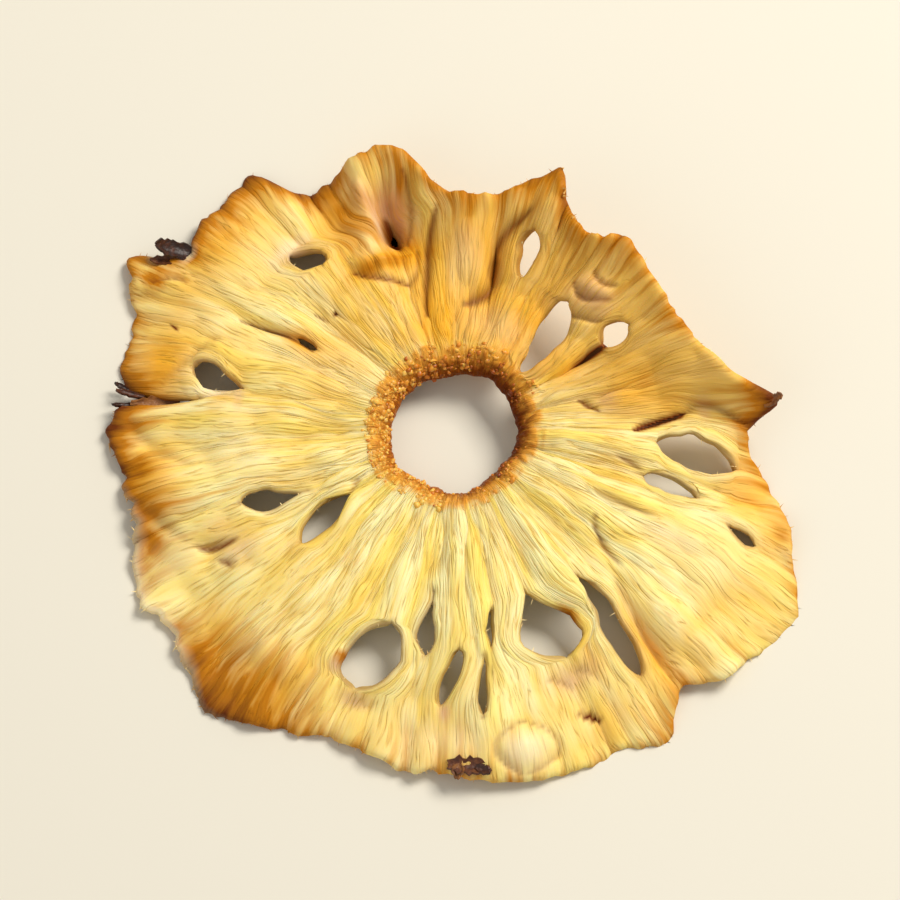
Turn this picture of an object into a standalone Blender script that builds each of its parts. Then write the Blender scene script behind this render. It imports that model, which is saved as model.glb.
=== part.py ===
"""A dried pineapple ring: one thin leathery slice with its core cut out, lying as it dried.

The slice is a sheet of fibres that run from the core's edge to the rim. Where the fruit's little seed
chambers were cut through, the fibres part and leave teardrop slots. Two thirds of the ring lie low on
the tray, and the rest has curled up as a wing.

Bearings are in degrees, anticlockwise from +X, about the hole's axis. Reach is the distance from that
axis. The origin is under the middle of the ring's box, on the surface it lies on.
"""

import math

import bmesh
import bpy
import numpy as np

MM = 0.001

# The hole that the corer left, as dried: its cut edge slopes down like a funnel
HOLE_REACH = 7.9
FUNNEL_DEPTH = 1.5
FUNNEL_WIDTH = 2.4
HOLE_HEIGHT = 4.5
HOLE_RISE = 1.3
HOLE_RISE_BEARING = 50

# Thickness of the dried flesh: at a cut edge, in the flesh, and in the tougher flesh round the core
EDGE_THICKNESS = 0.7
FLESH_THICKNESS = 1.5
CORE_THICKNESS = 2.3
EDGE_TAPER = 1.3
CORE_BAND = 6.0

# The mesh: fibres round the ring, and steps from the hole to the rim as shares of the way
FIBRES = 118
STEPS = (0, 0.025, 0.07, 0.125, 0.185, 0.245, 0.305, 0.365, 0.425, 0.485, 0.545, 0.605, 0.665,
         0.725, 0.785, 0.845, 0.9, 0.945, 0.98, 1)

# The rim, notch by notch: bearing, reach, and height of the middle of the sheet
RIM_MARKS = (
    (3, 38.8, 7.6), (359, 35.6, 4.0), (351, 38.6, 0.6), (342, 42.7, 0.8), (336, 44.4, 0.3),
    (331, 46.6, 0.0), (324, 45.2, 0.4), (316, 44.6, 1.2), (309, 41.8, 2.0), (304, 45.4, 0.8),
    (296, 43.7, 0.2), (288, 44.4, 0.2), (281, 44.2, 0.8), (272, 43.0, 1.7), (267, 42.4, 1.2),
    (260, 42.4, 0.4), (254, 41.1, 1.3), (246, 41.1, 0.7), (239, 42.8, 0.2), (229, 45.1, 0.2),
    (221, 42.5, 0.7), (212, 42.8, 0.2), (205, 42.0, 0.3), (198, 40.1, 0.9), (187, 40.6, 0.2),
    (180, 42.0, 1.2), (167, 42.3, 0.2), (159, 42.4, 0.6), (154, 44.1, 0.6), (149, 45.2, 0.8),
    (145, 40.3, 1.6), (141, 41.6, 1.8), (134, 42.0, 1.5), (128, 42.4, 0.0), (123, 38.0, 0.3),
    (116, 36.2, 2.2), (110, 36.6, 5.4), (104, 37.0, 7.2), (99, 34.6, 8.0), (94, 30.2, 8.6),
    (88, 28.4, 9.4), (78, 29.2, 10.4), (72, 31.3, 11.4), (67, 32.2, 12.6), (62, 28.8, 12.6),
    (52, 27.6, 13.0), (46, 29.4, 13.6), (38, 29.0, 13.4), (27, 28.8, 12.8), (15, 30.7, 11.8),
    (8, 34.0, 10.4),
)
# The smooth oval that the fibres are laid out in, before the rim's notches
OVAL_REACH = 39.5
OVAL_SHORTER = 7.5
OVAL_BEARING = 232

# The chambers: bearing at the inner and at the outer end, reach where it starts and ends, width, and
# how much higher the sheet stands on its anticlockwise side. The one past the rim is a cleft.
CHAMBERS = (
    (9, 4, 15.5, 18.5, 0.8, 0.6),
    (27, 26, 16.0, 23.6, 3.2, 0),
    (39.5, 48.5, 10.4, 20.0, 3.5, 0),
    (66, 67.5, 19.8, 25.4, 2.1, 0),
    (102, 94.5, 15.8, 24.0, 0.8, 0.9),
    (130, 127, 26.6, 30.4, 4.2, -0.8),
    (151, 149.5, 19.4, 24.0, 1.3, 0),
    (168.5, 166, 26.2, 32.8, 2.9, -0.7),
    (172.8, 172.8, 31.0, 60.0, 1.4, 1.7),
    (203.5, 200.5, 19.6, 27.6, 2.4, 0),
    (213, 219, 14.8, 23.6, 2.8, 0),
    (253, 249.5, 26.0, 34.4, 6.6, 0.5),
    (262.5, 261.5, 20.8, 29.0, 2.0, 0),
    (270.5, 267.5, 28.2, 34.6, 1.9, 0),
    (276.4, 275.4, 29.2, 36.0, 1.4, 0),
    (280, 279.4, 23.8, 28.2, 0.9, 0),
    (292.2, 295, 22.8, 31.0, 6.6, -0.5),
    (307.5, 305.5, 24.0, 37.8, 2.7, 0),
    (339.5, 338, 34.4, 38.6, 1.6, 0),
    (344, 343.3, 23.2, 30.4, 2.0, 0),
    (354, 352.2, 24.2, 34.0, 3.7, 1.1),
    (358, 1.2, 22.0, 28.6, 1.2, 0),
)
# A line with no chamber, where the grid's two ends meet
PLAIN_LINE = (187, 187, 20, 30, 0, 0)
# The narrowest gap that a chamber leaves, how far the fibres beside it are parted, in half widths of
# it, and how far the step between its lips reaches
NARROWEST = 0.5
PARTED_SPREAD = 3.2
LIFT_FADE = 3.0

# Dents and blisters: bearing, reach, half width, half length along the fibres, and height
DENTS = (
    (103, 27.0, 3.4, 6.2, -3.2), (103, 18.6, 4.2, 1.6, 0.9), (320.5, 24.5, 1.6, 2.6, -0.7),
    (208, 33.0, 2.4, 1.8, -0.7), (282, 39.4, 3.0, 3.0, 0.9), (77, 23.0, 1.4, 6.0, -1.2),
    (86, 24.0, 3.4, 6.0, 0.9), (151, 26.0, 1.3, 6.0, -0.9), (3, 32.0, 2.0, 6.0, -1.6),
    (190, 36.0, 3.0, 3.0, 0.9), (234, 36.0, 3.2, 4.0, 0.9), (144, 36.0, 2.6, 6.0, 0.9),
    (310, 40.0, 2.2, 5.0, 0.8), (331, 36.0, 4.5, 6.0, 1.0), (121, 32.0, 2.5, 7.0, -0.8),
)
# Pleats between fibre bundles: how many round the ring, height, and phase
PLEATS = ((9, 0.34, 0.6), (14, 0.30, 2.1), (23, 0.24, 4.4), (29, 0.18, 1.3))
DOME = 1.5


def off(bearing, other):
    """The angle from one bearing to another, between -180 and 180."""
    return (bearing - other + 180) % 360 - 180


def bell(x):
    """1 at the middle, falling smoothly to nothing."""
    return np.exp(-x * x)


def through(marks, bearing, item):
    """A smooth closed curve through one number of the marks, read at a bearing."""
    ordered = sorted(marks)
    at = np.array([mark[0] for mark in ordered], float)
    at = np.concatenate([at - 360, at, at + 360])
    value = np.tile([mark[item] for mark in ordered], 3)
    slope = np.gradient(value, at)
    bearing = np.asarray(bearing, float) % 360
    right = np.searchsorted(at, bearing, side="right")
    left = right - 1
    gap = at[right] - at[left]
    s = (bearing - at[left]) / gap
    return (
        value[left] * (1 + 2 * s) * (1 - s) ** 2
        + slope[left] * gap * s * (1 - s) ** 2
        + value[right] * s * s * (3 - 2 * s)
        - slope[right] * gap * s * s * (1 - s)
    )


def hole_reach(bearing):
    b = np.radians(bearing)
    return HOLE_REACH + 0.35 * np.cos(2 * b - 0.3) + 0.22 * np.cos(5 * b + 1.0) + 0.12 * np.cos(11 * b)


def reach_at(bearing, share):
    """Reach of a point that lies that share of the way from the hole to the rim."""
    inner = hole_reach(bearing)
    oval = OVAL_REACH + OVAL_SHORTER * np.cos(np.radians(off(bearing, OVAL_BEARING)))
    notches = through(RIM_MARKS, bearing, 1) - oval
    return inner + (oval - inner) * share + notches * share**3


def middle_of(line):
    return (line[0] + off(line[1], line[0]) / 2) % 360


def half_width(line, reach):
    """Half the width of a line's chamber at a reach: pointed at the core's end, rounder at the other."""
    start, end, width = line[2:5]
    s = np.clip((reach - start) / (end - start), 0, 1)
    half = 1.28 * width * s**0.85 * (1 - s) ** 0.55
    return np.where(half < NARROWEST / 2, 0, half)


def line_bearing(line, reach):
    """Bearing of a line of fibres, which leans only along its own chamber."""
    start, end = line[2:4]
    s = np.clip((reach - start) / (end - start), 0, 1)
    return line[0] + off(line[1], line[0]) * s * s * (3 - 2 * s)


def leaned_fibre(left, right, part, share):
    """Bearing and reach of the fibre that part of the way between two lines, before chambers part it."""
    bearing = middle_of(left) + part * (off(middle_of(right), middle_of(left)) % 360)
    for _ in range(8):
        reach = reach_at(bearing, share)
        bearing = line_bearing(left, reach)
        bearing = bearing + part * (off(line_bearing(right, reach), bearing) % 360)
    return bearing, reach


def parted(line, bearing, reach):
    """How far fibres are moved aside by a line's chamber, and how far they then are from its lip."""
    across = off(bearing, line_bearing(line, reach))
    half = np.degrees(half_width(line, reach) / reach)
    spread = PARTED_SPREAD * math.degrees(line[4] / (line[2] + min(line[3], OVAL_REACH))) + 0.001
    share = np.clip(1 - np.abs(across) / spread, 0, 1) ** 1.3
    clear = np.radians(np.abs(across) - half * (1 - share)) * reach
    return np.sign(across) * half * share, np.maximum(clear, 0)


def height_at(bearing, reach, share):
    """Height of the middle of the sheet."""
    b = np.radians(bearing)
    hole = HOLE_HEIGHT + HOLE_RISE * np.cos(b - math.radians(HOLE_RISE_BEARING))
    rim = through(RIM_MARKS, bearing, 2)
    raised = np.clip((rim - 3.4) / 8, 0, 1)
    height = hole + (rim - hole) * share ** (2.2 - 0.7 * raised)
    height += (DOME - 2.4 * raised) * np.sin(math.pi * share) * (1 - 0.4 * share)
    height -= FUNNEL_DEPTH * np.clip(1 - (reach - hole_reach(bearing)) / FUNNEL_WIDTH, 0, 1) ** 1.5
    for count, size, phase in PLEATS:
        height += size * np.cos(count * b + phase + 1.1 * np.sin(2 * b)) * np.sin(math.pi * share**0.8)
    for at, out, wide, long, size in DENTS:
        across = np.radians(off(bearing, at)) * reach
        height += size * bell(across / wide) * bell((reach - out) / long)
    return height


def fibre_points(left, right, part):
    """Points of the fibre that lies that part of the way between two lines, and the thickness at each."""
    share = np.array(STEPS)
    leaned, reach = leaned_fibre(left, right, part, share)
    bearing = leaned
    to_edge = np.minimum(reach - hole_reach(leaned), reach_at(leaned, 1.0) - reach)
    lift = np.zeros_like(reach)
    for line in CHAMBERS:
        moved, clear = parted(line, leaned, reach)
        bearing = bearing + moved
        opened = 2 * half_width(line, reach) / line[4]
        lift += line[5] / 2 * opened * np.sign(moved) * np.exp(-clear / LIFT_FADE)
        beyond = np.maximum(np.maximum(line[2] - reach, reach - line[3]), 0)
        to_edge = np.minimum(to_edge, np.hypot(beyond, clear))

    core = FLESH_THICKNESS + (CORE_THICKNESS - FLESH_THICKNESS) * bell((reach - HOLE_REACH) / CORE_BAND)
    taper = np.sqrt(np.clip(to_edge / EDGE_TAPER, 0, 1))
    thickness = EDGE_THICKNESS + (core - EDGE_THICKNESS) * taper
    turn = np.radians(bearing)
    height = height_at(bearing, reach, share) + lift
    return MM * np.stack([reach * np.cos(turn), reach * np.sin(turn), height], axis=1), thickness


def fibre_sheet():
    """The middle of the sheet: a grid of fibres by steps, bent round to a ring, with the chambers open."""
    lines = sorted((*CHAMBERS, PLAIN_LINE), key=middle_of)
    first = lines.index(PLAIN_LINE)
    lines = lines[first:] + lines[: first + 1]
    fibres = {}
    column = 0
    for left, right in zip(lines, lines[1:]):
        gap = off(middle_of(right), middle_of(left)) % 360
        count = max(1, round(FIBRES * gap / 360))
        for step in range(count + 1):
            # Just inside each line, so that its two sides are told apart
            points = fibre_points(left, right, min(max(step / count, 0.0001), 0.9999))
            if step > 0:
                fibres[column + step, "before"] = points
            if step < count:
                fibres[column + step, "after"] = points
        column += count

    bm = bmesh.new()
    rows = len(STEPS) - 1
    bmesh.ops.create_grid(bm, x_segments=column, y_segments=rows, size=1)

    def spot(vert):
        return round((vert.co.x + 1) / 2 * column), round((vert.co.y + 1) / 2 * rows)

    opened = set()
    for at in range(1, column):
        gap = np.linalg.norm(fibres[at, "after"][0] - fibres[at, "before"][0], axis=1)
        opened |= {(at, row) for row in np.nonzero(gap > NARROWEST / 2 * MM)[0]}
    along = [edge for edge in bm.edges if spot(edge.verts[0])[0] == spot(edge.verts[1])[0]]
    slits = [edge for edge in along if any(spot(vert) in opened for vert in edge.verts)]
    bmesh.ops.split_edges(bm, edges=slits)
    weight = bm.verts.layers.deform.verify()
    places = {}
    for vert in bm.verts:
        at, row = spot(vert)
        faces_x = [face.calc_center_median().x for face in vert.link_faces]
        points, thickness = fibres[at, "before" if max(faces_x) < vert.co.x else "after"]
        places[vert] = points[row]
        vert[weight][0] = thickness[row] / CORE_THICKNESS
    for vert, place in places.items():
        vert.co = place
    seam = [vert for vert in bm.verts if vert.is_boundary]
    bmesh.ops.remove_doubles(bm, verts=seam, dist=0.01 * MM)
    return bm


def flesh_material():
    """Matt golden flesh, a little glossy where its sugar has dried."""
    material = bpy.data.materials.new("dried_flesh")
    material.use_nodes = True
    shader = material.node_tree.nodes["Principled BSDF"]
    shader.inputs["Base Color"].default_value = (0.82, 0.53, 0.13, 1)
    shader.inputs["Roughness"].default_value = 0.5
    shader.inputs["Metallic"].default_value = 0.0
    return material


def pineapple_ring(collection):
    """The whole ring: the sheet given its thickness, and flattened where it lay on the tray."""
    sheet = bpy.data.meshes.new("pineapple_ring")
    bm = fibre_sheet()
    bm.to_mesh(sheet)
    bm.free()
    ring = bpy.data.objects.new("pineapple_ring", sheet)
    collection.objects.link(ring)
    ring.vertex_groups.new(name="thickness")

    flesh = ring.modifiers.new("Flesh", "SOLIDIFY")
    flesh.thickness = CORE_THICKNESS * MM
    flesh.offset = 0
    flesh.vertex_group = "thickness"
    bpy.context.view_layer.update()
    evaluated = ring.evaluated_get(bpy.context.evaluated_depsgraph_get())
    ring.data = bpy.data.meshes.new_from_object(evaluated)
    ring.modifiers.clear()

    corners = np.array([vert.co for vert in ring.data.vertices])
    middle = (corners.min(axis=0) + corners.max(axis=0)) / 2
    for vert in ring.data.vertices:
        vert.co.x -= middle[0]
        vert.co.y -= middle[1]
        vert.co.z = max(vert.co.z, 0)
    ring.data.shade_smooth()
    ring.data.set_sharp_from_angle(angle=math.radians(60))
    ring.data.materials.append(flesh_material())


for old in list(bpy.data.objects):
    bpy.data.objects.remove(old)
group = bpy.data.collections.new("dried_pineapple_ring")
bpy.context.scene.collection.children.link(group)
pineapple_ring(group)
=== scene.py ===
"""A dried pineapple ring, as it lies on a pale table after drying."""
import math

import bmesh
import bpy
import numpy as np
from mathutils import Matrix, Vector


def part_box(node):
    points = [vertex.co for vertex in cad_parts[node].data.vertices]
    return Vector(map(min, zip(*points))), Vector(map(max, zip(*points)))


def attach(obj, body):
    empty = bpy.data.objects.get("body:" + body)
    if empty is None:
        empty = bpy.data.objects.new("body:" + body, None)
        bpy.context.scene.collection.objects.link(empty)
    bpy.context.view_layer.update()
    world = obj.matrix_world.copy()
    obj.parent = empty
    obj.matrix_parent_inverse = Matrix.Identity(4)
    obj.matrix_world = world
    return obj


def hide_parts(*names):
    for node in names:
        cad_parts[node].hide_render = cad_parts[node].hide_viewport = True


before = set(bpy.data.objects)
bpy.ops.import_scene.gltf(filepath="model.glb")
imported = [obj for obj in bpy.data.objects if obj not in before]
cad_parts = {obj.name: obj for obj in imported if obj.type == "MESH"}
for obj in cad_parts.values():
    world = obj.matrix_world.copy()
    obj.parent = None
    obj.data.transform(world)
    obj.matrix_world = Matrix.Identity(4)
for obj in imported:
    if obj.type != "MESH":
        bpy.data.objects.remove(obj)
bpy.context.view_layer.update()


# The slice: a disc of fresh fruit about 6 mm thick, cored, and dried until it is a thin leathery sheet.
# Its fibres run from the core's edge to the rim and part round the little seed chambers. Two thirds of
# it dried flat on the tray, and the rest curled up as a wing. Bearings are in degrees, anticlockwise
# from +X about the hole's axis, reach is the distance from that axis, and lengths are in millimetres.
MM = 0.001

# The corer's cut, which slopes down into the hole like a funnel
HOLE_REACH = 7.9
FUNNEL_DEPTH = 2.3
FUNNEL_WIDTH = 2.4
HOLE_HEIGHT = 4.5
HOLE_RISE = 1.3
HOLE_RISE_BEARING = 50

# Thickness of the dried flesh: at a thin dried edge, in the flesh, and in the tougher flesh at the core
EDGE_THICKNESS = 0.3
FLESH_THICKNESS = 1.3
CORE_THICKNESS = 2.2
EDGE_TAPER = 1.1
CORE_BAND = 6.0

# Fibres round the ring, and steps along each one, closer together at the hole and at the rim
FIBRES = 620
SHARES = np.concatenate([
    np.linspace(0, 0.085, 13)[:-1],
    np.linspace(0.085, 0.94, 55)[:-1],
    np.linspace(0.94, 1, 7),
])

# The rim, notch by notch: bearing, reach, and height of the middle of the sheet
RIM_MARKS = (
    (3.2, 39.2, 7.6), (1.4, 36.9, 5.8), (358.4, 35.4, 3.8), (351, 38.6, 0.6), (342, 42.7, 0.8),
    (336, 44.4, 0.3), (331, 46.6, 0.0), (324, 45.2, 0.4), (316, 44.6, 1.2), (309, 41.8, 2.0),
    (304, 45.4, 0.8), (296, 43.7, 0.2), (288, 44.4, 0.2), (281, 44.2, 0.8), (272, 43.0, 1.7),
    (267, 42.4, 1.2), (260, 42.4, 0.4), (254, 41.1, 1.3), (246, 41.1, 0.7), (239, 42.8, 0.2),
    (229, 45.1, 0.2), (221, 42.5, 0.7), (212, 42.8, 0.2), (205, 42.0, 0.3), (198, 40.1, 0.9),
    (187, 40.6, 0.2), (180, 42.0, 1.2), (167, 42.3, 0.2), (159, 42.4, 0.6), (153, 44.4, 0.6),
    (149.2, 46.2, 0.8), (147.2, 43.4, 1.2), (144.6, 40.3, 1.6), (141, 41.6, 1.8), (134, 42.0, 1.5),
    (128.6, 42.6, 0.5), (125.2, 42.4, 1.2), (122.4, 38.4, 0.8), (116, 36.2, 2.2), (110, 36.6, 5.4),
    (104, 37.0, 7.2), (99, 34.6, 8.0), (94, 30.2, 8.6), (88, 28.4, 9.4), (78, 29.2, 10.4),
    (72, 31.3, 11.4), (66.6, 32.9, 12.6), (64.4, 30.6, 12.6), (61, 28.6, 12.6), (52, 27.6, 13.0),
    (46, 29.4, 13.6), (38, 29.0, 13.4), (27, 28.8, 12.8), (15, 30.7, 11.8), (6.4, 35.2, 9.8),
)
# The smooth outline that the fibres spread out to, before the notches: its mean reach, and how much
# longer it is towards one bearing
OVAL_REACH = 39.5
OVAL_LONGER = 7.5
OVAL_BEARING = 232
# The wing is where the rim stands higher than this, and wholly so where it is that much higher again
RAISED_FROM = 3.4
RAISED_OVER = 8
# The stretch of the rim that frayed and turned up, its edge painted pale: partly the frayed fibres' own
# colour, partly a painted highlight
FRAYED_BEARING = 209
FRAYED_SPREAD = 17
FRAYED_LIFT = 0.7

# The chambers: bearing at the inner and at the outer end, reach where it starts and ends, width, how
# much higher the sheet stands on its anticlockwise side, how far along it is widest, and how pointed it
# is, from 0, blunt, to 1. The one past the rim is a cleft.
CHAMBERS = (
    (28.8, 29.0, 20.2, 23.9, 2.6, 0, 0.5, 0.5),
    (39.5, 48.0, 10.4, 20.2, 3.8, 0, 0.5, 0.33),
    (66, 67.5, 19.8, 25.4, 2.1, 0, 0.55, 0.5),
    (127.4, 131.4, 26.6, 30.4, 3.5, -0.4, 0.36, 0.7),
    (150.6, 149.5, 19.4, 22.4, 0.8, 0, 0.4, 0.8),
    (168.5, 166, 26.2, 32.8, 2.9, -0.7, 0.66, 0.7),
    (172.8, 172.8, 31.0, 60.0, 3.0, 1.7, 0.6, 0.7),
    (203.5, 200.5, 19.4, 27.6, 2.4, 0, 0.68, 1.1),
    (213, 219, 14.8, 23.6, 2.8, 0, 0.55, 0.7),
    (253, 249.5, 26.0, 34.2, 6.2, 0.5, 0.56, 0.45),
    (262.5, 261.5, 20.8, 29.0, 2.1, 0, 0.74, 0.9),
    (270.5, 267.5, 28.2, 34.6, 1.9, 0, 0.45, 0.7),
    (276.4, 275.4, 29.0, 36.4, 1.0, 0, 0.6, 0.7),
    (280, 279.4, 23.8, 28.2, 0.8, 0, 0.28, 0.7),
    (291.0, 294.8, 22.4, 31.3, 6.9, -0.5, 0.70, 0.6),
    (307.5, 305.5, 24.0, 37.8, 2.7, 0, 0.6, 0.6),
    (339.5, 338, 34.8, 38.5, 1.5, 0, 0.72, 0.6),
    (344, 343.3, 23.4, 30.4, 1.7, 0, 0.42, 0.8),
    (354, 352.2, 24.2, 34.0, 3.7, 1.1, 0.5, 0.6),
)
# A line of fibres with no chamber in it, where the first block of fibres starts
PLAIN_LINE = (187, 187, 20, 30, 0, 0, 0.5, 0.7)
# The narrowest chamber that stays open, how many widths aside it still parts the fibres, how uneven its
# lips are and over what length, and how far from them their lift fades
NARROWEST = 0.3
PARTED_SPREAD = 2.5
LIP_UNEVENNESS = 0.5
LIP_WAVES = 1.5
LIFT_FADE = 3.0

# Dents and blisters: bearing, reach, half width, half length along the fibres, and height
DENTS = (
    (104, 27.5, 3.2, 6.0, -3.4), (320.5, 24.5, 1.6, 2.6, -0.7), (208, 33.0, 2.4, 1.8, -0.7),
    (281.8, 40.6, 3.0, 2.4, 1.6), (79, 22.6, 2.0, 4.0, -1.1), (86, 24.0, 3.4, 6.0, 1.0),
    (151, 26.0, 1.3, 6.0, -0.9), (3, 32.0, 2.0, 6.0, -1.6), (190, 36.0, 3.0, 3.0, 0.9),
    (234, 36.0, 3.2, 4.0, 0.9), (144, 36.0, 2.6, 6.0, 0.9), (331, 36.0, 4.5, 6.0, 1.2),
    (121, 32.0, 2.5, 7.0, -1.0), (310.5, 35.0, 1.8, 6.0, -1.0), (316, 37.0, 2.4, 6.0, 0.9),
    (182, 25.0, 5.0, 5.0, 0.8), (138, 34.5, 4.0, 4.0, 0.8), (162, 32.0, 3.6, 6.0, 0.8),
    (42, 22.8, 2.6, 1.4, 0.9), (31, 27.0, 2.0, 3.5, -0.6), (18, 24.0, 3.0, 6.0, 0.7),
    (67, 28.5, 1.4, 3.0, 0.7), (232, 30.0, 4.0, 6.0, 0.6), (224, 37.0, 2.0, 5.0, -0.8),
    (212, 38.5, 2.0, 4.0, -0.7), (346, 36.5, 2.4, 4.0, -0.9), (350, 32.0, 1.5, 5.0, 0.7),
    (250.8, 36.0, 3.0, 1.6, -0.8), (294, 33.8, 3.6, 2.0, -0.7), (130, 30.5, 3.0, 1.8, -0.9),
)

# Creases and folds that it dried with: three (bearing, reach) marks of a curve, half width, height,
# and how strong the painted shade along its line is. Each is measured along short straight steps, and shows
# less underneath.
CREASE_STEPS = 12
UNDERSIDE_SHARE = 0.7
CREASES = (
    ((70.0, 27.6), (76.4, 23.4), (75.6, 18.2), 1.1, -1.1, 0.7),
    ((76.6, 22.6), (76.0, 18.0), (86.0, 15.4), 1.1, -1.1, 0.75),
    ((103.2, 14.4), (98.6, 21.2), (94.2, 27.6), 0.7, -0.9, 0.7),
    ((10.9, 15.2), (8.0, 16.2), (4.8, 17.4), 0.4, -0.5, 0.8),
    ((357.2, 21.4), (0.4, 24.2), (3.2, 27.8), 0.55, -1.0, 1.7),
    ((27.0, 15.4), (27.6, 18.0), (27.4, 20.8), 0.8, -0.9, 1.5),
    ((107.8, 29.4), (107.0, 27.0), (106.2, 24.4), 1.8, -1.1, 0.85),
    ((151.5, 19.6), (150.0, 24.5), (152.4, 29.6), 0.5, -0.8, 0.75),
    ((173.2, 33.0), (171.8, 30.0), (169.4, 27.4), 0.4, -0.4, 0.4),
    ((3.2, 27.6), (5.0, 31.0), (359.8, 36.6), 0.6, -0.7, 0.5),
    ((333.6, 18.8), (333.4, 21.4), (333.8, 26.0), 0.4, -0.5, 0.5),
    ((325.4, 20.4), (319.6, 22.8), (318.6, 26.4), 0.45, -0.6, 0.6),
    ((313.9, 27.5), (311.6, 33.6), (309.4, 41.4), 0.8, -0.8, 0.25),
    ((110.0, 34.4), (111.8, 29.6), (110.2, 24.6), 0.5, 1.0, 0.0),
    ((122.6, 24.6), (112.4, 22.8), (100.6, 22.2), 0.9, 1.1, 0.0),
    ((123.5, 23.4), (114.9, 20.6), (107.0, 18.8), 0.55, -0.7, 0.75),
    ((108.4, 18.9), (103.2, 20.0), (100.6, 23.2), 0.5, -0.6, 0.4),
    ((101.0, 33.6), (99.8, 29.0), (102.6, 24.6), 0.5, -0.6, 0.5),
    ((204.8, 34.2), (206.6, 32.0), (207.4, 29.6), 0.65, -0.8, 0.85),
    ((210.4, 32.3), (211.8, 31.8), (213.2, 31.6), 0.6, -0.6, 0.75),
    ((212.0, 15.3), (210.0, 13.9), (208.0, 12.6), 0.3, -0.3, 0.5),
    ((292.4, 38.3), (294.2, 38.8), (296.0, 39.7), 0.5, -0.6, 1.5),
    ((282.6, 37.4), (276.9, 39.8), (280.6, 43.2), 0.5, -0.6, 0.4),
    ((282.2, 37.4), (287.2, 41.0), (281.6, 43.2), 0.5, -0.6, 0.4),
    ((288.4, 33.0), (291.0, 33.6), (293.4, 35.2), 0.5, -0.3, 0.35),
    ((294.6, 33.0), (296.8, 33.4), (298.4, 35.0), 0.5, -0.3, 0.3),
    ((49.0, 22.4), (43.5, 21.9), (38.0, 23.4), 0.5, -0.7, 0.55),
    ((44.0, 19.8), (39.0, 20.2), (34.0, 21.6), 0.45, -0.6, 0.45),
    ((47.0, 25.0), (42.5, 24.0), (39.0, 25.4), 0.4, -0.5, 0.5),
    ((154.5, 42.6), (151.5, 40.6), (150.5, 37.8), 0.5, 0.6, 0.0),
    ((152.0, 42.0), (149.8, 40.0), (149.4, 38.2), 0.4, -0.7, 0.5),
    ((157.5, 31.0), (163.0, 33.0), (170.0, 36.6), 0.6, -0.5, 0.2),
    ((135.6, 20.8), (135.0, 20.4), (134.8, 20.0), 0.35, -0.3, 1.3),
    ((140.0, 22.6), (139.0, 21.4), (138.4, 20.6), 0.3, -0.3, 0.6),
    ((158.0, 37.0), (158.2, 36.7), (158.6, 36.4), 0.35, -0.2, 1.1),
    ((176.6, 39.5), (183.0, 36.6), (188.4, 32.0), 0.9, -0.5, 0.15),
    ((193.0, 39.5), (197.0, 37.4), (203.0, 35.0), 0.8, -0.5, 0.2),
    ((226.0, 42.5), (227.6, 39.0), (229.4, 35.6), 0.8, -0.5, 0.2),
    ((348.5, 20.0), (347.5, 21.5), (346.2, 23.0), 0.4, -0.4, 0.6),
    ((64.2, 31.0), (63.0, 29.0), (61.6, 26.5), 0.5, -0.8, 0.5),
)

# Hollows with steep sides, where a chamber's wall held: as the dents
HOLLOWS = ((106.4, 29.0, 2.5, 3.9, -2.2), (107.0, 26.4, 2.0, 2.1, -1.0))

# How far the rim is browned inwards: bearing, how brown its edge is, and width of the browned band
BROWNING = (
    (7, 0.4, 2), (3, 1.4, 2.6), (359, 0.7, 2.6), (350, 0.45, 3.5), (340, 0.6, 2.5), (328, 0.15, 2),
    (306, 0.3, 3), (290, 0.25, 2), (275, 0.35, 3), (262, 0.35, 3), (246, 0.4, 3), (238, 0.8, 6),
    (231, 1.0, 7), (222, 0.8, 4), (213, 0.4, 3), (205, 0.5, 3), (197, 1.0, 3.4), (188, 0.9, 3.2),
    (176, 1.1, 3), (160, 0.45, 3), (152, 0.6, 5), (147, 0.95, 2.8), (134, 0.75, 2.8), (122, 0.9, 3.6),
    (108, 0.45, 4), (96, 0.5, 4), (80, 0.5, 3), (66, 0.75, 3), (56, 0.4, 2.5), (46, 0.65, 4),
    (36, 0.4, 2.5), (22, 0.4, 2.5),
)

# Where sugar turned the flesh golden, where it turned it brown, where a chamber's grey inner skin shows,
# and where it stayed pale, with a few spots of painted shade and painted light among them: bearing, reach,
# half width, half length along the fibres, and strength
GOLDEN = (
    (72, 14.0, 8.5, 4.6, 1.0), (100, 12.5, 6, 2.5, 0.8), (53, 14.6, 2.5, 4.5, 1.0),
    (28, 14.5, 2.2, 4.0, 0.7), (100, 16, 2.5, 5, 0.7), (111, 22.6, 6.0, 1.5, 1.0),
    (112, 18.4, 4, 2.6, 0.5), (104, 23.4, 2.4, 2.0, 1.0), (150, 34, 12, 7, 0.25), (139, 38, 8, 3.6, 0.85),
    (118, 31, 3.2, 5.5, 0.85), (150.4, 21.5, 1.3, 2.6, 0.9), (166.5, 36.5, 5, 3.5, 0.9),
    (188, 38.5, 4, 5, 1.0), (170, 28.5, 2.4, 1.6, 0.7), (236, 39, 6, 5, 0.7), (222, 38, 4, 4, 0.5),
    (348, 36.6, 4, 4.5, 0.85), (341, 40.4, 3, 2, 0.7), (355, 38, 3, 2, 0.7), (12, 21, 3, 3, 0.6),
    (5, 26, 2.5, 2.5, 0.6), (262, 40, 9, 3, 0.4), (298, 40.5, 6, 3, 0.5), (310, 36, 2, 8, 0.7),
    (299.5, 32, 1.4, 4, 0.5), (322, 39, 10, 5, 0.35), (125, 25, 5, 8, 0.5), (140, 16, 7, 4, 0.3),
    (160, 18, 5, 6, 0.3), (345, 19, 4, 5, 0.2), (84, 22, 3.6, 5, 0.5),
)
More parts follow.
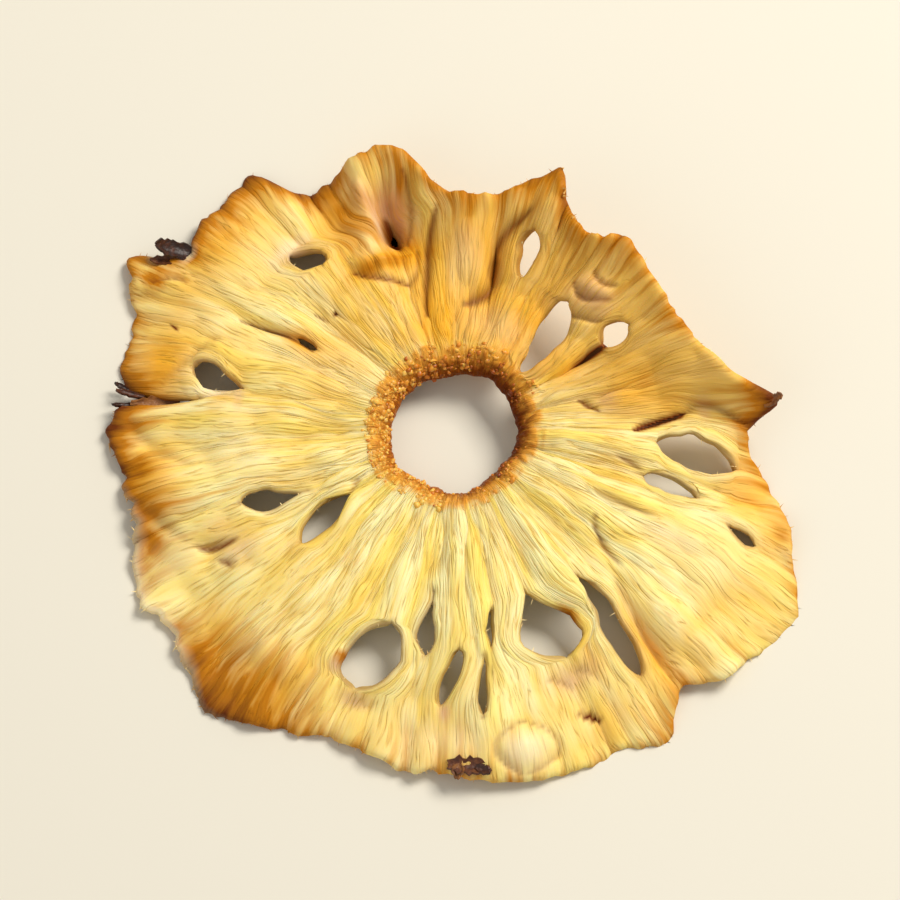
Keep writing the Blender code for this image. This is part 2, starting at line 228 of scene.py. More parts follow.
# The spots at 116.4 and 112.4 on the shaded side of the pocket's bump, at 106.8 in the pocket's bottom and at
# 77 beside the crease are painted shade
BROWNED = (
    (116.4, 30, 2.8, 6.0, 0.45), (110, 22.5, 5, 0.9, 0.5), (101.4, 33, 0.9, 2.0, 0.5),
    (112.4, 31.5, 1.5, 4.6, 0.3), (104, 35.5, 3.0, 1.8, 0.4), (77, 20.4, 0.9, 3.0, 0.35),
    (244.6, 31.6, 1.1, 0.9, 0.6), (299.5, 27.2, 1.2, 2.0, 0.55), (12, 23.5, 1.4, 2.2, 0.35),
    (40, 28.2, 2.0, 1.4, 0.4), (187, 38.5, 3.0, 2.6, 0.6), (151.2, 42.0, 2.0, 2.0, 0.6),
    (106.8, 26.6, 1.6, 2.0, 0.8), (200, 39.0, 3.0, 2.0, 0.6), (341.6, 41.4, 1.2, 1.8, 0.5),
)
BARE_SKIN = (
    (106.2, 30.8, 2.3, 2.6, 1.0), (131, 30.6, 3.2, 1.6, 0.7), (250.6, 35.6, 2.6, 1.2, 0.7),
    (268, 35.4, 0.9, 1.3, 0.9), (294, 34.0, 3.6, 2.0, 0.7), (211, 30.0, 2.6, 2.8, 0.5),
    (331, 29, 2.4, 3.6, 0.4), (8, 18.5, 1.3, 1.6, 0.5), (4, 30, 1.6, 1.0, 0.5), (203, 31, 1.5, 2.0, 0.4),
    (42.5, 22.6, 3.0, 2.2, 0.6), (110.6, 29.6, 0.8, 4.4, 0.9), (102.8, 28.8, 0.8, 3.0, 0.9),
    (203, 36, 3.0, 3.0, 0.3), (244, 32.6, 1.0, 1.3, 0.9), (262.8, 25.6, 0.8, 1.4, 0.5),
    (172, 26.5, 2.2, 0.7, 0.6), (218, 24.5, 2.0, 2.0, 0.3),
)
PALE = (
    (281.8, 40.8, 2.6, 2.0, 0.9), (87, 21.5, 2.2, 4.0, 0.35), (131, 31.2, 2.4, 0.9, 0.6),
    (110.8, 28.4, 0.5, 3.4, 0.5), (137, 31.5, 4.5, 3.5, 0.3), (147.6, 43.4, 1.2, 1.0, 0.7),
    (144.6, 40.0, 1.4, 0.8, 0.7), (170.8, 29.8, 0.7, 3.0, 0.9), (186, 27, 5, 5, 0.4),
    # The spot at bearing 68 by the hole is painted light, brightening flesh that slopes away from the window
    (205, 37, 3, 4, 0.3), (331, 33, 6, 7, 0.4), (268, 38.5, 6, 2.5, 0.4), (68, 13.4, 6, 3, 0.35),
)
# The hole's wall is painted darkest towards one bearing: mostly painted shade, where it faces away from the
# window, and a little browning. Sugar gathered at another bearing.
SHADED_WALL_BEARING = 20
SUGARED_BEARING = 65
SUGARED_FADE = 3.2
# The reach at which the patterns that run along the fibres have their true width
PATTERN_REACH = 27
FAR = 99.0
SHARP_EDGE = math.radians(75)
# How far the finest edges may stand above the top of the ring's box
HEADROOM = 0.3


def off(bearing, other):
    """The angle from one bearing to another, between -180 and 180."""
    return (bearing - other + 180) % 360 - 180


def bell(x):
    """1 at the middle, falling smoothly to nothing."""
    return np.exp(-x * x)


def through(marks, bearing, item):
    """A smooth closed curve through one number of the marks, read at a bearing."""
    ordered = sorted(marks)
    at = np.array([mark[0] for mark in ordered], float)
    at = np.concatenate([at - 360, at, at + 360])
    value = np.tile([mark[item] for mark in ordered], 3)
    slope = np.gradient(value, at)
    bearing = np.asarray(bearing, float) % 360
    right = np.searchsorted(at, bearing, side="right")
    left = right - 1
    gap = at[right] - at[left]
    s = (bearing - at[left]) / gap
    return (
        value[left] * (1 + 2 * s) * (1 - s) ** 2
        + slope[left] * gap * s * (1 - s) ** 2
        + value[right] * s * s * (3 - 2 * s)
        - slope[right] * gap * s * s * (1 - s)
    )


def patches(around, outward, count, seed):
    """Smooth random patches between -1 and 1, with count of them round the ring."""
    rows = 97
    table = np.random.default_rng(seed).uniform(-1, 1, (count, rows))
    at = np.asarray(around) / 360 * count
    outward = np.asarray(outward) + 0 * at
    column, row = np.floor(at).astype(int), np.floor(outward).astype(int)
    s, t = at - column, outward - row
    s, t = s * s * (3 - 2 * s), t * t * (3 - 2 * t)
    low = table[column % count, row % rows] * (1 - s) + table[(column + 1) % count, row % rows] * s
    row = row + 1
    high = table[column % count, row % rows] * (1 - s) + table[(column + 1) % count, row % rows] * s
    return low * (1 - t) + high * t


def valleys(around, outward, count, seed):
    """Rounded hills with narrow creases between them, from about -1 in a crease to 1."""
    return 3 * np.sqrt(patches(around, outward, count, seed) ** 2 + 0.015) - 1.2


def hole_reach(bearing):
    """Reach of the hole's uneven edge."""
    b = np.radians(bearing)
    lumps = 0.35 * np.cos(2 * b - 0.3) + 0.22 * np.cos(5 * b + 1.0) + 0.3 * patches(bearing, 0.5, 40, 14)
    return HOLE_REACH + lumps - 0.5 * bell(off(bearing, 355) / 45)


def reach_at(bearing, share):
    """Reach of a point that lies that share of the way from the hole to the rim."""
    inner = hole_reach(bearing)
    oval = OVAL_REACH + OVAL_LONGER * np.cos(np.radians(off(bearing, OVAL_BEARING)))
    notches = through(RIM_MARKS, bearing, 1) - oval
    return inner + (oval - inner) * share + notches * share**3


def middle_of(line):
    """The bearing halfway between a line's two ends."""
    return (line[0] + off(line[1], line[0]) / 2) % 360


def half_width(line, reach, side):
    """Half the width of a line's chamber at a reach, uneven along each of its two lips."""
    start, end, width, _, peak, pointed = line[2:]
    s = np.clip((reach - start) / (end - start), 0, 1) ** (math.log(0.5) / math.log(peak))
    half = width / 2 * (4 * s * (1 - s)) ** pointed
    uneven = patches(7 * line[0] + 180 * (side > 0), reach / LIP_WAVES, 80, 41)
    half = half * (1 + LIP_UNEVENNESS * uneven / (1 + width / 2))
    return np.where(half < NARROWEST / 2, 0, half)


def line_bearing(line, reach):
    """Bearing of a line of fibres, which leans only along its own chamber."""
    start, end = line[2:4]
    s = np.clip((reach - start) / (end - start), 0, 1)
    return line[0] + off(line[1], line[0]) * s * s * (3 - 2 * s)


def leaned_fibres(left, right, part, share):
    """Bearing and reach of the fibres between two lines, before chambers part them."""
    bearing = middle_of(left) + part * (off(middle_of(right), middle_of(left)) % 360)
    # Each depends on the other, so both are settled in a few rounds
    for _ in range(8):
        reach = reach_at(bearing, share)
        bearing = line_bearing(left, reach)
        bearing = bearing + part * (off(line_bearing(right, reach), bearing) % 360)
    return bearing, reach


def parted(line, bearing, reach):
    """How far a line's chamber moves fibres aside and along it, and how far they are from its lip."""
    start, end, width = line[2:5]
    across = off(bearing, line_bearing(line, reach))
    spread = PARTED_SPREAD * math.degrees(width / (start + min(end, OVAL_REACH))) + 0.001
    share = np.clip(1 - np.abs(across) / spread, 0, 1) ** 1.3
    # Points of a lip crowd towards the chamber's ends, which keeps those round
    s = np.clip((reach - start) / (end - start), 0, 1)
    crowded = start + (end - start) * (1 - np.cos(math.pi * s)) / 2
    along = np.where((s > 0) & (s < 1), crowded - reach, 0)
    half = np.degrees(half_width(line, reach + along, across) / reach)
    clear = np.radians(np.abs(across) - half * (1 - share)) * reach
    return np.sign(across) * half * share, along * share, np.maximum(clear, 0)


def spots(marks, bearing, reach):
    """How strongly the spots of a list cover each point, from 0 to 1."""
    bare = np.ones_like(reach)
    for at, out, wide, long, strength in marks:
        across = np.radians(off(bearing, at)) * reach
        bare *= 1 - strength * bell(across / wide) * bell((reach - out) / long)
    return 1 - bare


def creased(bearing, reach):
    """Height that the creases and folds add, and the painted shade along their lines."""
    turn = np.radians(bearing)
    x, y = reach * np.cos(turn), reach * np.sin(turn)
    height, painted_shade = np.zeros_like(x), np.zeros_like(x)
    for *marks, wide, rise, darkness in CREASES:
        start, middle, end = (out * np.array([math.cos(math.radians(at)), math.sin(math.radians(at))])
                              for at, out in marks)
        t = np.linspace(0, 1, CREASE_STEPS + 1)[:, None]
        curve = start * (1 - t) * (1 - 2 * t) + middle * 4 * t * (1 - t) + end * t * (2 * t - 1)
        nearest = np.full_like(x, FAR)
        share = np.zeros_like(x)
        for step, (a, b) in enumerate(zip(curve, curve[1:])):
            way = b - a
            s = np.clip(((x - a[0]) * way[0] + (y - a[1]) * way[1]) / (way @ way), 0, 1)
            gap = np.hypot(x - a[0] - s * way[0], y - a[1] - s * way[1])
            share = np.where(gap < nearest, (step + s) / CREASE_STEPS, share)
            nearest = np.minimum(gap, nearest)
        fade = np.sqrt(np.clip(4 * share * (1 - share), 0.05, 1))
        height += rise * fade * bell(nearest / (wide * (0.4 + 0.6 * fade)))
        # Painted shade along the line, fading towards its ends
        painted_shade = np.maximum(painted_shade, darkness * bell(nearest / (0.75 * wide * (0.3 + 0.7 * fade))))
    return height, np.minimum(painted_shade, 1)


def raised_at(bearing):
    """How far a bearing lies in the wing, from 0 to 1."""
    return np.clip((through(RIM_MARKS, bearing, 2) - RAISED_FROM) / RAISED_OVER, 0, 1)


def height_at(bearing, reach, share):
    """Height of the middle of the sheet, without its wrinkles and creases."""
    b = np.radians(bearing)
    hole = HOLE_HEIGHT + HOLE_RISE * np.cos(b - math.radians(HOLE_RISE_BEARING))
    rim = through(RIM_MARKS, bearing, 2)
    raised = raised_at(bearing)
    height = hole + (rim - hole) * share ** (2.2 - 0.7 * raised)
    height += (1.5 - 2.4 * raised) * np.sin(math.pi * share) * (1 - 0.4 * share)
    height -= FUNNEL_DEPTH * np.clip(1 - (reach - hole_reach(bearing)) / FUNNEL_WIDTH, 0, 1) ** 1.5
    for count, size, phase in ((9, 0.34, 0.6), (14, 0.30, 2.1), (23, 0.20, 4.4)):
        height += size * np.cos(count * b + phase + 1.1 * np.sin(2 * b)) * np.sin(math.pi * share**0.8)
    for at, out, wide, long, size in DENTS:
        across = np.radians(off(bearing, at)) * reach
        height += size * bell(across / wide) * bell((reach - out) / long)
    for at, out, wide, long, size in HOLLOWS:
        across = np.radians(off(bearing, at)) * reach
        height += size * bell((across / wide) ** 2 + ((reach - out) / long) ** 2)
    return height


def jagged_rim(around):
    """The small teeth of the dried rim: how far each stands out or in."""
    teeth = 0.45 * patches(around, 0.5, 80, 11) + 0.4 * patches(around, 2.5, 200, 12)
    return teeth + 0.25 * patches(around, 4.5, 360, 13)


def opened(leaned, start):
    """Bearing and reach of fibres that the chambers part, their lift, and how far the nearest lip is."""
    bearing, reach = leaned, start
    lift = np.zeros_like(start)
    clearest = np.full_like(start, FAR)
    for line in CHAMBERS:
        aside, along, clear = parted(line, leaned, start)
        bearing = bearing + aside
        reach = reach + along
        gaping = 2 * half_width(line, start + along, aside) / line[4]
        lift += line[5] / 2 * gaping * np.sign(aside) * np.exp(-clear / LIFT_FADE)
        beyond = np.maximum(np.maximum(line[2] - start, start - line[3]), 0)
        clearest = np.minimum(clearest, np.hypot(beyond, clear))
    return bearing, reach, lift, clearest


def fibres_between(left, right, around):
    """One block of fibres between two lines: each point's place, thickness, colour marks and crease."""
    gap = off(middle_of(right), middle_of(left)) % 360
    count = max(3, round(FIBRES * gap / 360))
    # Just inside the two lines, so that a chamber's two lips are told apart
    part = np.clip(np.linspace(0, 1, count + 1), 0.0001, 0.9999)[:, None]
    share = SHARES[None, :]
    leaned, reach = leaned_fibres(left, right, part, share)
    around = around + gap * part + 0 * reach
    from_rim = reach_at(leaned, 1.0) - reach
    from_hole = reach - hole_reach(leaned)
    in_flesh = np.clip((from_hole - FUNNEL_WIDTH) / 3, 0, 1)

    bearing, reach, lift, clearest = opened(leaned, reach)
    # The fibres wander sideways by up to 0.3 mm
    bearing = bearing + np.degrees(0.3 * in_flesh * patches(around, reach / 7, 52, 42) / reach)

    # Each pattern below states its length along the fibres, how many go round the ring, and its seed
    core = FLESH_THICKNESS + (CORE_THICKNESS - FLESH_THICKNESS) * bell((reach - HOLE_REACH) / CORE_BAND)
    to_edge = np.clip(np.minimum(np.minimum(from_hole, from_rim), clearest) / EDGE_TAPER, 0, 1)
    taper = np.sqrt(1 - (1 - to_edge) ** 2)
    furrows = 0.5 * valleys(around, reach / 8, 118, 21) + 0.35 * valleys(around, reach / 5, 262, 22)
    granules = 0.6 * valleys(around, reach / 0.8, 70, 23) + 0.4 * valleys(around, reach / 0.5, 124, 24)
    rough = 0.11 + 0.07 * patches(around, reach / 8, 17, 25)
    relief = in_flesh * rough * furrows + 0.4 * (1 - in_flesh) * granules
    thickness = EDGE_THICKNESS + (core + relief - EDGE_THICKNESS) * taper

    raised = raised_at(leaned) * np.clip(from_hole / 14, 0, 1)
    crumpled = 0.5 * valleys(around, reach / 7, 44, 31) + 0.3 * valleys(around + 40, reach / 4, 78, 32)
    pleats = 0.55 * patches(around, 0.5, 58, 33) + 0.45 * valleys(around, 1.5, 96, 34)
    pleats = pleats + 0.3 * patches(around, 2.5, 190, 35)
    crease, painted_shade = creased(bearing, reach)
    height = height_at(bearing, reach, share) + lift
    # Wrinkles, the rim's pleats, and the lips of the chambers, which stand a little proud
    height += in_flesh * 0.5 * crumpled + share**5 * pleats + 0.15 * np.exp(-clearest / 0.7)
    frayed = bell(off(leaned, FRAYED_BEARING) / FRAYED_SPREAD)
    height += FRAYED_LIFT * frayed * np.exp(-from_rim / 0.7)

    turn = np.radians(bearing)
    reach = reach + jagged_rim(around) * share**14 * (1 - 0.5 * raised) * (1 + 1.8 * frayed)
    places = np.stack([reach * np.cos(turn), reach * np.sin(turn), height], axis=-1)
    turn = np.radians(around)
    fibre = np.stack([PATTERN_REACH * np.cos(turn), PATTERN_REACH * np.sin(turn), reach], axis=-1)
    brown = through(BROWNING, leaned, 1) * np.exp(-from_rim / through(BROWNING, leaned, 2))
    # The rim's brown is painted deeper in its pleats' valleys and lighter on their crests: partly painted
    # shade
    brown = np.clip(brown - 0.25 * pleats * share**5, 0, 1)
    brown = np.maximum(brown, spots(BROWNED, bearing, reach))
    funnel = np.clip(1.3 - from_hole / FUNNEL_WIDTH + 0.25 * granules, 0, 1)
    # Painted shade on the side of the hole's wall that faces away from the window
    shaded_wall = 0.5 + 0.5 * np.cos(np.radians(bearing - SHADED_WALL_BEARING))
    painted_shade = np.maximum(painted_shade, shaded_wall * np.clip(2.0 * funnel - 0.9, 0, 0.9))
    # Painted shade in the valleys of the furrows and wrinkles
    valley_shade = np.clip(0.5 - 0.5 * furrows - 0.4 * crumpled, 0, 1) * in_flesh
    # Pale spots, and the frayed rim's pale edge, which is partly a painted highlight
    pale = np.maximum(spots(PALE, bearing, reach), frayed * np.exp(-from_rim / 0.9))
    # Painted shade on the chambers' lips, as if their walls dropped into shadow
    painted_shade = np.maximum(painted_shade, 0.5 * np.exp(-clearest / 0.22))
    # The fourth mark is how far a point lies in the wing; the shader paints the wing's tan from it as painted
    # shade
    marks = np.stack([brown, funnel, pale, raised], axis=-1)
    golden, skin = spots(GOLDEN, bearing, reach), spots(BARE_SKIN, bearing, reach)
    gilt = np.exp(-from_hole / SUGARED_FADE) * (0.65 + 0.5 * np.cos(np.radians(bearing - SUGARED_BEARING)))
    # Tones: golden, grey skin, painted shade, and painted shade in the valleys
    tones = np.stack([np.maximum(golden, np.clip(gilt, 0, 1)), skin, painted_shade, valley_shade], axis=-1)
    return places, thickness, fibre, marks, tones, crease


def fruit_sheet():
    """The sheet's middle: faces, points, thickness, colour marks and creases, with the chambers open."""
    lines = sorted((*CHAMBERS, PLAIN_LINE), key=middle_of)
    first = lines.index(PLAIN_LINE)
    lines = lines[first:] + lines[: first + 1]
    blocks, around = [], 0
    for left, right in zip(lines, lines[1:]):
        blocks.append(fibres_between(left, right, around))
        around += off(middle_of(right), middle_of(left)) % 360
    places, *others = (np.concatenate(items) for items in zip(*blocks))

    points = np.arange(places[..., 0].size).reshape(places.shape[:2])
    starts = np.cumsum([0] + [len(block[1]) for block in blocks])
    for start in starts[:-1]:
        # A block's first fibre is the last of the block before it, except along a chamber's lips
        before = start - 1 if start else starts[-1] - 1
        same = np.linalg.norm(places[start] - places[before], axis=1) < NARROWEST / 2
        points[start][same] = points[before][same]
    cells = np.setdiff1d(np.arange(starts[-1] - 1), starts[1:] - 1)
    near, far = points[cells], points[cells + 1]
    quads = np.stack([near[:, :-1], far[:, :-1], far[:, 1:], near[:, 1:]], axis=-1).reshape(-1, 4)
    used, quads = np.unique(quads, return_inverse=True)
    quads = quads.reshape(-1, 4)[:, ::-1]
    return quads, *(item.reshape(points.size, -1)[used] for item in (places, *others))


def normals_of(places, quads):
    """The sheet's direction outwards at each point."""
    corners = places[quads]
    facing = np.cross(corners[:, 2] - corners[:, 0], corners[:, 3] - corners[:, 1])
    normals = np.zeros_like(places)
    for corner in range(4):
        np.add.at(normals, quads[:, corner], facing)
    return normals / np.linalg.norm(normals, axis=1)[:, None]


def thickened(places, quads, thickness):
    """A sheet's upper and lower side and its edges: the points, the faces and the rims' point pairs."""
    upward = normals_of(places, quads)
    points = np.concatenate([places + upward * thickness / 2, places - upward * thickness / 2])
    count = len(places)
    sides = np.stack([quads, np.roll(quads, -1, axis=1)], axis=-1).reshape(-1, 2)
    there = sides[:, 0] * count + sides[:, 1]
    back = sides[:, 1] * count + sides[:, 0]
    rims = sides[~np.isin(there, back)]
    edge = np.stack([rims[:, 1], rims[:, 0], rims[:, 0] + count, rims[:, 1] + count], axis=-1)
    return points, np.concatenate([quads, quads[:, ::-1] + count, edge]), rims


def fruit_piece(name, points, faces, attributes, material):
    """A piece of the fruit from points in metres, riding with the ring and finished as dried fruit."""
    mesh = bpy.data.meshes.new(name)
    mesh.from_pydata(points.tolist(), [], faces.tolist())
    for title, values in attributes.items():
        kind, field = ("FLOAT_VECTOR", "vector") if values.shape[1] == 3 else ("FLOAT_COLOR", "color")
        mesh.attributes.new(title, kind, "POINT").data.foreach_set(field, values.ravel())
    mesh.shade_smooth()
    mesh.set_sharp_from_angle(angle=SHARP_EDGE)
    mesh.materials.append(material)
    piece = bpy.data.objects.new(name, mesh)
    bpy.context.scene.collection.objects.link(piece)
    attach(piece, "root")
    print(name, "triangles", sum(len(face.vertices) - 2 for face in mesh.polygons))
    return piece


def linear(code):
    """An sRGB hex colour as linear red, green, blue and alpha."""
    parts = [int(code[i : i + 2], 16) / 255 for i in (0, 2, 4)]
    return [c / 12.92 if c <= 0.04045 else ((c + 0.055) / 1.055) ** 2.4 for c in parts] + [1]


def add_node(tree, kind, inputs, output=0, **settings):
    """Adds a node with its settings, gives each input a value or a link, and returns one of its outputs."""
    node = tree.nodes.new(kind)
    for name, value in settings.items():
        setattr(node, name, value)
    for name, value in inputs.items():
        if isinstance(value, bpy.types.NodeSocket):
            tree.links.new(value, node.inputs[name])
        else:
            node.inputs[name].default_value = value
    return node.outputs[output]


def painted(add, colour, layers):
    """Lays colours over one another: each shows where its pattern rises from low to high."""
    for pattern, low, high, most, code in layers:
        amount = add("MapRange", {"Value": pattern, "From Min": low, "From Max": high, "To Max": most})
        colour = add("Mix", {0: amount, 6: colour, 7: linear(code)}, 2, data_type="RGBA")
    return colour


def new_material(name):
    """A material, its shader, its tree, and add_node for that tree."""
    material = bpy.data.materials.new(name)
    material.use_nodes = True
    tree = material.node_tree

    def add(kind, inputs, output=0, **settings):
        return add_node(tree, "ShaderNode" + kind, inputs, output, **settings)

    return material, tree.nodes["Principled BSDF"], tree, add


def dried_flesh():
    """Dried pineapple flesh: sugary fibres, satin and a little see-through, browned where it is thin, with
    painted shade in its creases, valleys and on the wing.
    """
    material, shader, tree, add = new_material("dried_flesh")
    fibre = add("Attribute", {}, "Vector", attribute_name="fibre")
    marks = add("Attribute", {}, "Color", attribute_name="marks")
    tones = add("Attribute", {}, "Color", attribute_name="tones")
    # How far in the wing: it paints the wing's painted shade and thins its clefts
    wing = add("Attribute", {}, "Alpha", attribute_name="marks")
    valley_shade = add("Attribute", {}, "Alpha", attribute_name="tones")
    brown, funnel, pale = (add("SeparateColor", {"Color": marks}, channel) for channel in range(3))
    golden, skin, painted_shade = (add("SeparateColor", {"Color": tones}, channel) for channel in range(3))

    # The fibres wander by about a millimetre every 12 mm
    calm = add("VectorMath", {0: fibre, 1: (1, 1, 0.5)}, operation="MULTIPLY")
    waves = add("TexNoise", {"Vector": calm, "Scale": 0.17, "Detail": 1}, 1)
    wavy = add("VectorMath", {0: waves, 1: (2, 2, 0), 2: fibre}, operation="MULTIPLY_ADD")

    # Bundles 1.7 mm across, fibres 0.7 mm and hairs 0.2 mm, each about sixteen times as long, with fine
    # clefts along the sides of the fibres, fewer of them on the wing
    drawn = add("VectorMath", {0: wavy, 1: (1, 1, 0.06)}, operation="MULTIPLY")
    bundles = add("TexNoise", {"Vector": drawn, "Scale": 0.6, "Detail": 2, "Roughness": 0.5})
    fibres = add("TexNoise", {"Vector": drawn, "Scale": 1.5, "Detail": 2, "Roughness": 0.55})
    hairs = add("TexNoise", {"Vector": drawn, "Scale": 4.2, "Detail": 1, "Roughness": 0.5})
    beside = add("Math", {0: fibres, 1: 0.5}, operation="SUBTRACT")
    beside = add("Math", {0: beside}, operation="ABSOLUTE")
    clefts = add("MapRange", {"Value": beside, "From Max": 0.05, "To Min": 1.0, "To Max": 0.0})
    broken = add("MapRange", {"Value": hairs, "From Min": 0.4, "From Max": 0.62})
    clefts = add("Math", {0: clefts, 1: broken}, operation="MULTIPLY")
    shallow = add("Math", {0: wing, 1: -0.6, 2: 1.0}, operation="MULTIPLY_ADD")
    clefts = add("Math", {0: clefts, 1: shallow}, operation="MULTIPLY")
    # The stripes fade outwards, where the flesh is smoother
    reach = add("SeparateXYZ", {"Vector": fibre}, "Z")
    striped = add("MapRange", {"Value": reach, "From Min": 15, "From Max": 36, "To Min": 1.0, "To Max": 0.45})
    bundles, hairs = (
        add("Mix", {0: striped, 2: 0.5, 3: pattern}, data_type="FLOAT") for pattern in (bundles, hairs)
    )
    blotches = add("TexNoise", {"Vector": fibre, "Scale": 0.14, "Detail": 2})
    granules = add("TexNoise", {"Vector": fibre, "Scale": 1.4, "Detail": 3, "Roughness": 0.6})

    gilded = add("MapRange", {"Value": blotches, "From Min": 0.4, "From Max": 0.7, "To Max": 0.2})
    gilded = add("Math", {0: golden, 1: gilded}, operation="ADD")
    # Fibre streaks on the wing, painted darker with its painted shade
    streaked = add("MapRange", {"Value": fibres, "From Min": 0.46, "From Max": 0.64})
    streaked = add("Math", {0: streaked, 1: wing}, operation="MULTIPLY")
    uneven = add("Math", {0: fibres, 1: 0.9, 2: -0.45}, operation="MULTIPLY_ADD")
    browned = add("Math", {0: brown, 1: uneven}, operation="ADD")
    grains = add("MapRange", {"Value": granules, "From Min": 0.42, "From Max": 0.58})
    grains = add("Math", {0: grains, 1: funnel}, operation="MULTIPLY")
    colour = painted(add, linear("fff3b2"), (
        (bundles, 0.44, 0.62, 0.9, "ffe676"),
        # Painted shade in the valleys
        (valley_shade, 0.3, 1.0, 0.55, "eec548"),
        # Painted shade: the curled-up wing faces away from the window and is lit through from behind, painted
        # tan
        (wing, 0.0, 1.0, 0.8, "e6b04a"),
        (streaked, 0.0, 1.0, 0.5, "bb8836"),
        (gilded, 0.0, 1.0, 0.9, "f8ae10"),
        (skin, 0.1, 0.9, 0.9, "deae84"),
        (hairs, 0.52, 0.66, 0.5, "efc04e"),
        (clefts, 0.0, 1.0, 0.42, "c0902a"),
        (browned, 0.12, 0.5, 0.97, "ca7e00"),
        (browned, 0.47, 1.0, 1.0, "6c3000"),
        (funnel, 0.05, 0.35, 0.9, "f0a432"),
        (funnel, 0.5, 1.0, 0.9, "c26a04"),
        (grains, 0.2, 0.8, 0.6, "a04a00"),
        # Painted shade: along creases, in pits and slits, on the chambers' lips and on the hole's shaded wall
        (painted_shade, 0.0, 0.9, 1.0, "7c3600"),
        (painted_shade, 0.9, 1.0, 0.8, "2e1a00"),
        # Pale spots and the frayed edge, the latter partly a painted highlight
        (pale, 0.1, 0.8, 0.75, "ffecbe"),
    ))
    tree.links.new(colour, shader.inputs["Base Color"])

    relief = add("Math", {0: clefts, 1: -0.2, 2: bundles}, operation="MULTIPLY_ADD")
    relief = add("Math", {0: hairs, 1: -0.6, 2: relief}, operation="MULTIPLY_ADD")
    granular = add("Math", {0: funnel, 1: granules}, operation="MULTIPLY")
    relief = add("Math", {0: granular, 1: 1.5, 2: relief}, operation="MULTIPLY_ADD")
    bump = add("Bump", {"Strength": 0.8, "Distance": 0.0005, "Height": relief})
    tree.links.new(bump, shader.inputs["Normal"])
    gloss = add("MapRange", {"Value": fibres, "From Min": 0.3, "From Max": 0.7, "To Min": 0.5, "To Max": 0.7})
    gloss = add("Math", {0: funnel, 1: -0.15, 2: gloss}, operation="MULTIPLY_ADD")
    tree.links.new(gloss, shader.inputs["Roughness"])
    shader.inputs["IOR"].default_value = 1.45
    shader.inputs["Specular IOR Level"].default_value = 0.2
    shader.inputs["Subsurface Weight"].default_value = 0.2
    shader.inputs["Subsurface Radius"].default_value = (0.9, 0.7, 0.25)
    shader.inputs["Subsurface Scale"].default_value = 0.001
    return material


quads, *sheet, crease = fruit_sheet()
sheet_points, sheet_faces, sheet_rims = thickened(sheet[0], quads, sheet[1])
sheet_points[:, 2] += np.concatenate([crease, UNDERSIDE_SHARE * crease])[:, 0]
ring_low, ring_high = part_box("pineapple_ring")
sheet_middle = (sheet_points.min(axis=0) + sheet_points.max(axis=0)) / 2
ring_middle = np.array([(low + high) / 2 for low, high in zip(ring_low, ring_high)])
axis_place = ring_middle[:2] - sheet_middle[:2] * MM


def laid(points):
    """Points in millimetres about the hole's axis, as metres where the ring lies, none off its height."""
    points = points * MM
    points[:, :2] += axis_place
    points[:, 2] = np.clip(points[:, 2], ring_low[2], ring_high[2] + HEADROOM * MM)
    return points


flesh = dried_flesh()
titles = ("fibre", "marks", "tones")
slice_piece = fruit_piece(
    "dried_slice", laid(sheet_points), sheet_faces,
    {title: np.tile(values, (2, 1)) for title, values in zip(titles, sheet[2:])}, flesh,
)
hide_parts("pineapple_ring")


# The core's grains: sugary cells left where the corer tore the fruit, which dried as glossy amber lumps
# round the hole. They grow out of the funnel in clumps, most of them on its left.
GRAINS = 700
GRAIN_SIZES = (0.14, 0.40)
CLUMPED_BEARING = 165


def core_grains():
    """Grains on the funnel's surface: points, faces and each point's tint."""
    draw = np.random.default_rng(51)
    ball = bmesh.new()
    bmesh.ops.create_icosphere(ball, subdivisions=2, radius=1)
    corners = np.array([vertex.co for vertex in ball.verts])
    triangles = np.array([[vertex.index for vertex in face.verts] for face in ball.faces])
    ball.free()

    count = len(sheet[0])
    funnel = sheet[3][:, 1]
    bearing = np.arctan2(sheet[0][:, 1], sheet[0][:, 0])
    clumps = patches(np.degrees(bearing) % 360, funnel * 3, 36, 52)
    clumps = clumps + 0.7 * np.cos(bearing - math.radians(CLUMPED_BEARING))
    weight = np.where((funnel > 0.1) & (funnel < 0.97), np.clip(clumps + 0.6, 0.03, 2), 0)
    picked = draw.choice(count, GRAINS, replace=False, p=weight / weight.sum())
    points, faces, tints = [], [], []
    for number, place in enumerate(picked):
        low, high = GRAIN_SIZES
        size = low + (high - low) * draw.random() ** 2
        turned = np.linalg.qr(draw.normal(size=(3, 3)))[0]
        lump = corners * draw.uniform(0.74, 1.16, (len(corners), 1)) * draw.uniform(0.6, 1.5, 3)
        points.append(lump @ turned * size + sheet_points[place] - (0, 0, 0.6 * size))
        faces.append(triangles + number * len(corners))
        # Grains on the hole's shaded side are painted darker, the more so deeper in: painted shade
        shaded_wall = 0.5 + 0.5 * math.cos(bearing[place] - math.radians(SHADED_WALL_BEARING))
        tint = np.clip(0.2 + 0.7 * shaded_wall * funnel[place] + draw.normal(0, 0.16), 0, 1)
        tints.append(np.full((len(corners), 4), tint))
    return np.concatenate(points), np.concatenate(faces), np.concatenate(tints)


